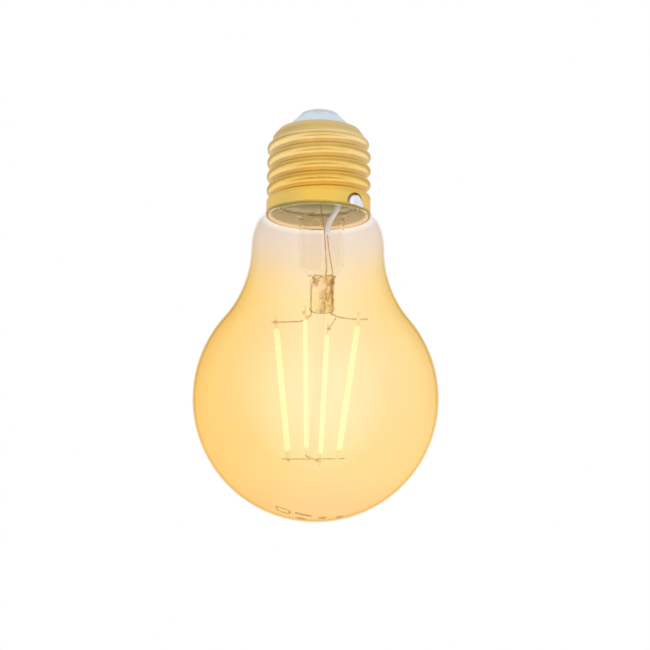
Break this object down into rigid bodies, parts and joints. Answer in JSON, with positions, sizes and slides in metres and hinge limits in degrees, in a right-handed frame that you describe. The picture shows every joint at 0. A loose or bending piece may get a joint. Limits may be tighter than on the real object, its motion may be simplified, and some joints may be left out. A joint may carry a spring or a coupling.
{
  "type": "smart light bulb",
  "caption": "Hanging smart filament bulb: amber glass globe with four straight filaments on a glass stem, threaded brass screw cap, and a driver with a wireless module inside the cap.",
  "frame": {"origin": "centre of the flat top of the centre contact", "axes": "+Z along the bulb's axis, out of the cap, so the globe hangs below; +X to the side on which the right-hand filament hangs; the side solder is between +X and -Y"},
  "size_m": [0.06, 0.06, 0.103],
  "materials": {
    "brass": "rolled brass-coloured sheet, polished, with a warm gold tone",
    "insulator": "pale blue-grey moulded insulator, satin",
    "contact": "pale plated contact, satin",
    "solder": "bright solder, lightly wrinkled",
    "cement": "olive-brown capping cement, matt and grainy",
    "amber_glass": "blown glass, clear at the neck and coated amber over the globe",
    "clear_glass": "clear drawn glass",
    "dumet_wire": "copper-clad lead wire, dulled by the flame",
    "nickel_wire": "drawn nickel wire",
    "nickel_tab": "stamped nickel-plated strip",
    "molybdenum_wire": "dark drawn wire",
    "copper_wire": "copper wire",
    "sleeve": "white insulating sleeve",
    "circuit_board": "green glass-fibre board with solder mask",
    "black_epoxy": "black moulded epoxy",
    "chip_ceramic": "tan ceramic chip",
    "capacitor_film": "dark shrink-wrapped can",
    "resistor_body": "lacquered resistor body",
    "ferrite": "pressed ferrite",
    "tinned_steel": "tinned sheet steel",
    "phosphor": "yellow phosphor in silicone, lit"
  },
  "bodies": {
    "root": {"screw_shell": "brass", "insulator": "insulator", "centre_contact": "contact", "side_solder": "solder", "capping_cement": "cement", "glass_envelope": "amber_glass", "stem_glass": "clear_glass", "exhaust_tube": "clear_glass", "support_rod": "clear_glass", "rod_bead": "clear_glass", "left_lead_wire": "dumet_wire", "right_lead_wire": "dumet_wire", "near_branch_wire": "nickel_wire", "far_branch_wire": "nickel_wire", "negative_output_lead": "copper_wire", "positive_output_lead": "copper_wire", "live_input_lead": "copper_wire", "neutral_input_lead": "copper_wire", "insulating_sleeve": "sleeve", "driver_board": "circuit_board", "wireless_board": "circuit_board", "bridge_rectifier": "black_epoxy", "led_driver_chip": "black_epoxy", "voltage_regulator": "black_epoxy", "pin_header": "black_epoxy", "chip_resistor_1": "black_epoxy", "chip_resistor_2": "black_epoxy", "chip_capacitor_1": "chip_ceramic", "chip_capacitor_2": "chip_ceramic", "antenna": "chip_ceramic", "bulk_capacitor": "capacitor_film", "fusible_resistor": "resistor_body", "choke_core": "ferrite", "choke_winding": "copper_wire", "shield_can": "tinned_steel", "crystal": "tinned_steel", "filament_left": "phosphor", "upper_tab_left": "nickel_tab", "lower_tab_left": "nickel_tab", "support_wire_left": "molybdenum_wire", "filament_right": "phosphor", "upper_tab_right": "nickel_tab", "lower_tab_right": "nickel_tab", "support_wire_right": "molybdenum_wire", "filament_near": "phosphor", "upper_tab_near": "nickel_tab", "lower_tab_near": "nickel_tab", "support_wire_near": "molybdenum_wire", "filament_far": "phosphor", "upper_tab_far": "nickel_tab", "lower_tab_far": "nickel_tab", "support_wire_far": "molybdenum_wire"}
  },
  "joints": []
}
